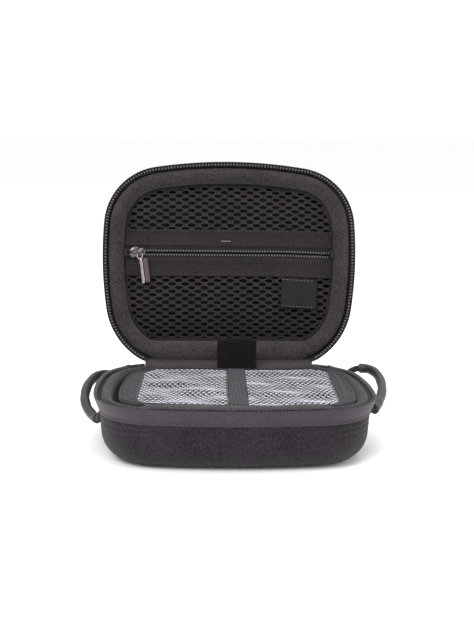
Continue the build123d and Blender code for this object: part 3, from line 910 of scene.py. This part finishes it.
# ---- side loops ----
LOOPS = {
    "left": ((-67.8, 46.2, 28.4), (-72.8, 48.2, 30.4), (-78.0, 45.6, 32.4), (-82.8, 37.5, 32.8),
             (-86.4, 22.0, 31.2), (-87.2, 6.0, 27.4), (-84.9, -6.0, 23.8), (-81.0, -15.0, 21.6),
             (-78.2, -21.0, 21.4), (-77.2, -24.6, 23.0), (-75.2, -27.4, 26.4)),
    "right": ((67.8, 46.6, 28.2), (72.4, 49.4, 29.4), (75.8, 51.0, 33.2), (80.0, 51.2, 35.3),
              (84.8, 49.2, 36.0), (88.6, 44.6, 35.8), (91.0, 37.0, 34.6), (91.6, 27.0, 32.6),
              (90.2, 14.0, 30.4), (87.4, 2.0, 28.6), (84.2, -8.0, 27.3), (81.6, -15.0, 26.5),
              (79.8, -19.0, 26.3), (76.4, -22.0, 26.6)),
}
SLEEVED = {"left": slice(26, 130), "right": slice(42, 148)}  # the sleeve's share of the line's 160 points


def spline(points, count):
    """A smooth line through points, by Catmull-Rom spans."""
    p = np.array(points, float)
    p = np.vstack((2 * p[0] - p[1], p, 2 * p[-1] - p[-2]))
    out = []
    spans = len(p) - 3
    for k in np.linspace(0, spans - 1e-6, count):
        i, t = int(k), k - int(k)
        a, b, c, d = p[i:i + 4]
        out.append(0.5 * (2 * b + (c - a) * t + (2 * a - 5 * b + 4 * c - d) * t * t
                          + (3 * b - a - 3 * c + d) * t ** 3))
    return np.array(out)


def tube(line, wide, tall, cols=20, power=1.0, ends=True):
    """A section carried along a line: wide and tall may change along it."""
    count = len(line)
    wide, tall = np.broadcast_to(wide, (count,)), np.broadcast_to(tall, (count,))
    way = np.gradient(line, axis=0)
    way /= np.linalg.norm(way, axis=1)[:, None]
    rows = []
    for p, w, a, b in zip(line, way, wide, tall):
        up = UP - w * w[2]
        up /= np.linalg.norm(up)
        side = np.cross(w, up)
        angle = np.linspace(0, 2 * math.pi, cols, endpoint=False)
        ca, sa = squarish(np.cos(angle), power), squarish(np.sin(angle), power)
        rows.append(p + np.outer(ca, side) * a + np.outer(sa, up) * b)
    return loft(rows, cap=(0, -1) if ends else ())


for side, route in LOOPS.items():
    line = spline(route, 160)
    skin = tube(line, 1.0, 1.9, 16, 0.6)
    piece(f"loop_webbing_{side}", skin, f"loop_{side}", STRAP, (f"loop_strap_{side}",))
    part = line[SLEEVED[side]]
    t = np.linspace(0, 1, len(part))
    size = 2.85 + 0.08 * np.sin(t * 34) - 0.35 * hump(t, 0, 0.01) - 0.35 * hump(t, 1, 0.01)
    skin = tube(part, size, size * 1.02, 24)
    piece(f"loop_grip_{side}", skin, f"loop_{side}", SLEEVE, (f"loop_sleeve_{side}",))
    way = part[2] - part[0]
    way /= np.linalg.norm(way)
    cuff = np.array([part[0] + way * k for k in (-0.15, 0.1, 0.8, 1.5, 1.8)])
    size = (2.5, 3.05, 3.12, 3.05, 2.7)
    piece(f"loop_cuff_rear_{side}", tube(cuff, size, size, 24), f"loop_{side}", SLEEVE)


# ---- the pocket's slider and its pull ----
POCKET_ZIP = 70.0  # the pocket zip's height up the lid


def at_zip(u, d):
    """A spot on the pocket zip's line, u across and at a depth in the lid."""
    return lid_uv([u], POCKET_ZIP, [d])[0]


skin = gather([blob(at_zip(-60.3, 5.2), RIGHT, LID_UP, (8.2, 7.8, 2.6), 10, 24, 0.75),
               blob(at_zip(-56.3, 5.3), RIGHT, LID_UP, (5.4, 6.2, 2.2), 10, 24, 0.8),
               blob(at_zip(-59.4, 8.9), RIGHT, LID_UP, (10.2, 6.8, 1.3), 8, 20, 0.7)])
piece("pocket_slider_body", skin, "pocket_slider", METAL, ("pocket_zip_slider",), level=1)
bridge = [at_zip(-59.2 - 3.4 * math.cos(t), 4.6 - 2.7 * math.sin(t) ** 0.7)
          for t in np.linspace(0, math.pi, 14)]
skin = tube(np.array(bridge), 1.15, 0.75, 14, 0.8)
piece("pocket_slider_bridge", skin, "pocket_slider", METAL, level=1)

PULL_LEAN = math.radians(7.5)
DOWN = RIGHT * math.sin(PULL_LEAN) - LID_UP * math.cos(PULL_LEAN)
ACROSS = RIGHT * math.cos(PULL_LEAN) + LID_UP * math.sin(PULL_LEAN)
pin = at_zip(-57.6, 2.6)
turns = np.linspace(0, 2 * math.pi, 28)[:-1]
eye = [pin + DOWN * (1.7 - 2.5 * math.cos(t)) + ACROSS * 1.7 * math.sin(t) for t in turns]
skin = tube(np.array(eye + eye[:1]), 0.55, 0.55, 12, ends=False)
piece("pocket_pull_eye", skin, "pocket_pull", LINK, ("pocket_zip_pull",))
rod = np.array([pin + DOWN * d + ACROSS * 0.3 for d in np.linspace(3.4, 20.2, 30)])
t = np.linspace(0, 1, 30)
fat = 1.25 - 0.35 * hump(t, 0, 0.06) - 0.3 * hump(t, 1, 0.04)
piece("pocket_pull_rod", tube(rod, fat, fat, 18), "pocket_pull", LINK, level=1)
STRIP_FROM, STRIP_TO = 4.0, 19.6
rows = []
for d in np.linspace(STRIP_FROM, STRIP_TO, 24):
    half = 1.5 - 0.5 * hump(d, STRIP_FROM, 0.8) - 0.3 * hump(d, STRIP_TO, 0.6)
    middle = pin + DOWN * d + ACROSS * 3.1
    rows.append(np.array([middle + ACROSS * half * squarish(math.cos(a), 0.5)
                          + LID_OUT * 0.55 * squarish(math.sin(a), 0.7)
                          for a in np.linspace(0, 2 * math.pi, 20, endpoint=False)]))
piece("pocket_pull_strip", loft(rows, cap=(0, -1)), "pocket_pull", BROWN, level=1)

# Cloth between the collar and the divider's front edge: the divider's own hinge
u = np.linspace(-66, 66, 110)
spot, outward = on_rim(GIRTH / 2 + u)
rows = []
for t in np.linspace(0, 1, 14):
    out = 4.5 + (0.6 + 8.8 * smooth((66 - np.abs(u)) / 20)) * t
    z = 35.6 + 0.4 * math.sin(t * math.pi) - 0.5 * (1 - t) ** 3 + 0.08 * np.sin(u * 0.3 + t * 5)
    z -= 1.6 * (1 - smooth((66 - np.abs(u)) / 22))
    rows.append(np.column_stack((spot - outward * out[:, None], z)))
skin = loft(rows, wrap_cols=False)
flap = piece("divider_front_cloth", skin, None, BASE_LINING, ("divider_hinge_tape",),
             thick=0.6)
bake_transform(flap)

# ---- the main zip's two sliders, parked at the rear corners ----
CORNER_X, CORNER_Y, CORNER_R = 33.88, 23.38, 44.6  # the rear corner's arc
PARKED = math.radians(51.0)
SLIDER_Z = 34.0
for side, sign in (("left", -1.0), ("right", 1.0)):
    middle = np.array((sign * (CORNER_X + CORNER_R * math.cos(PARKED)),
                       CORNER_Y + CORNER_R * math.sin(PARKED), SLIDER_Z))
    along = np.array((-sign * math.sin(PARKED), math.cos(PARKED), 0.0))
    away = np.array((sign * math.cos(PARKED), math.sin(PARKED), 0.0))
    skin = gather([blob(middle, along, UP, (9.0, 3.6, 7.6), 10, 24, 0.65),
                   blob(middle + along * -3.0 + UP * 0.1, along, UP, (5.6, 3.8, 8.2), 10, 24, 0.7),
                   blob(middle + away * 3.4 + UP * 0.2, along, UP, (5.0, 3.0, 3.2), 8, 18, 0.7)])
    # The sliders take the near-black metal: painted shade of the rear corners.
    piece(f"main_slider_{side}", skin, f"slider_{side}", BLACK_METAL_SHADE,
          (f"zip_slider_{side}",), level=1)
    pin = np.array((sign * 64.65, 61.38, SLIDER_Z))
    way = np.array((-sign * 0.76, 0.65, 0.0))
    run = np.linspace(-1.4, 10.2, 26)
    wide = np.interp(run, (-1.4, -0.6, 2.0, 3.2, 9.2, 10.2), (0.6, 1.8, 1.7, 2.1, 2.1, 1.0))
    skin = tube(np.array([pin + way * d for d in run]), wide, 0.55, 18, 0.6)
    piece(f"main_pull_{side}", skin, f"pull_{side}", BLACK_METAL_SHADE, (f"zip_pull_{side}",),
          level=1)

# ---- CAD pieces that stay: zip stops and the hidden ledge ----
for name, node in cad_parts.items():
    if not name.startswith(("zip_stop", "pocket_zip_stop", "divider_ledge")):
        continue
    node.data.materials.clear()
    # The ledge takes the darker well copy: painted shade.
    node.data.materials.append(WELL_SHADE if name == "divider_ledge" else BLACK_METAL_SHADE)
    soft = node.modifiers.new("edges", "BEVEL")
    soft.width = 0.00025
    soft.segments = 2
    soft.limit_method = "ANGLE"

# ---- floor, light, camera ----
floor_mesh = bpy.data.meshes.new("floor")
floor_mesh.from_pydata([(-30, -30, 0), (30, -30, 0), (30, 30, 0), (-30, 30, 0)], [], [(0, 1, 2, 3)])
floor = bpy.data.objects.new("floor", floor_mesh)
bpy.context.scene.collection.objects.link(floor)
pale = bpy.data.materials.new("pale_floor")
pale.use_nodes = True
paint = pale.node_tree.nodes["Principled BSDF"]
paint.inputs["Base Color"].default_value = (0.95, 0.95, 0.95, 1)
paint.inputs["Roughness"].default_value = 0.9
floor_mesh.materials.append(pale)

world = bpy.data.worlds.new("studio")
bpy.context.scene.world = world
world.use_nodes = True
sky = world.node_tree.nodes["Background"]
sky.inputs["Color"].default_value = (1, 1, 1, 1)
sky.inputs["Strength"].default_value = 1.03


def softbox(name, place, target, size, power):
    """A square lamp aimed at a spot."""
    light = bpy.data.lights.new(name, "AREA")
    light.shape = "RECTANGLE"
    light.size, light.size_y = size
    light.energy = power
    obj = bpy.data.objects.new(name, light)
    bpy.context.scene.collection.objects.link(obj)
    obj.location = place
    obj.rotation_euler = (Vector(target) - Vector(place)).to_track_quat("-Z", "Y").to_euler()


softbox("key", (-0.5, -0.7, 0.9), (0, 0.03, 0.06), (0.6, 0.6), 9.0)
softbox("top", (0.1, 0.1, 1.1), (0, 0, 0.05), (0.9, 0.9), 8.0)
softbox("fill", (0.8, -0.5, 0.5), (0, 0, 0.06), (0.6, 0.6), 2.0)

YAW, PITCH, ROLL = (math.radians(a) for a in (-2.992, 9.165, 0.783))
ahead = Vector((-math.sin(YAW) * math.cos(PITCH), math.cos(YAW) * math.cos(PITCH), -math.sin(PITCH)))
level = Vector((math.cos(YAW), math.sin(YAW), 0))
rise = Vector((-math.sin(YAW) * math.sin(PITCH), math.cos(YAW) * math.sin(PITCH), math.cos(PITCH)))
right = level * math.cos(ROLL) + rise * math.sin(ROLL)
up = rise * math.cos(ROLL) - level * math.sin(ROLL)
camera_data = bpy.data.cameras.new("camera")
camera_data.lens = 65.07
camera_data.sensor_width = 36.0
camera = bpy.data.objects.new("camera", camera_data)
bpy.context.scene.collection.objects.link(camera)
basis = Matrix((right, up, -ahead)).transposed().to_4x4()
camera.matrix_world = Matrix.Translation((-0.032743, -0.653018, 0.182522)) @ basis
bpy.context.scene.camera = camera
bpy.context.scene.view_settings.view_transform = "Standard"
